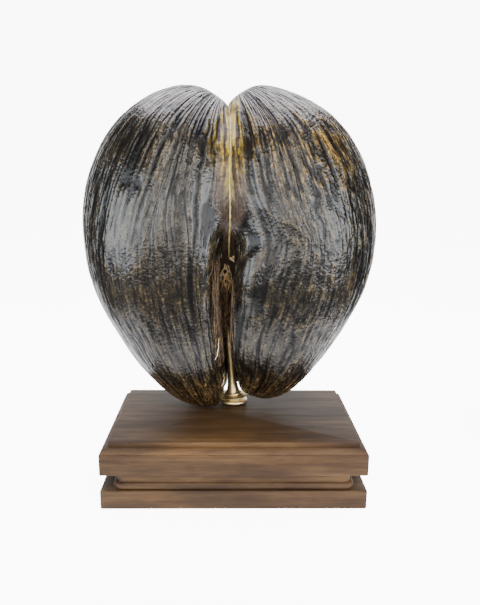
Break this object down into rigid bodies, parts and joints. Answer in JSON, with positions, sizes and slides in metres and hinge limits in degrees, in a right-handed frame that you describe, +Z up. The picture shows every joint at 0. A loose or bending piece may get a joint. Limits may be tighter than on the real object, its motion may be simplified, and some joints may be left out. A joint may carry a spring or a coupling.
{
  "type": "coco de mer nut",
  "caption": "Two-lobed coco de mer nut with ridged shell and fibre tuft, held on a leaning turned brass stem above a stepped moulded wooden plinth.",
  "frame": {"origin": "centre of the plinth's underside, on the surface it stands on", "axes": "+Z up, +X to the right along the plinth's long side, -Y towards the front of the picture"},
  "size_m": [0.2562, 0.1799, 0.3441],
  "materials": {
    "nut_shell": "varnished ridged shell",
    "dry_fibre": "matt dry plant fibre",
    "polished_brass": "polished",
    "stained_wood": "stained, semi-gloss",
    "plain_steel": "plain"
  },
  "bodies": {
    "root": {"coco_nut": "nut_shell", "germ_fibres": "dry_fibre", "brass_stem": "polished_brass", "brass_ring": "polished_brass", "plinth_top": "stained_wood", "plinth_neck": "stained_wood", "plinth_bottom": "stained_wood", "threaded_rod": "plain_steel", "fixing_washer": "plain_steel", "fixing_nut": "plain_steel"}
  },
  "joints": []
}
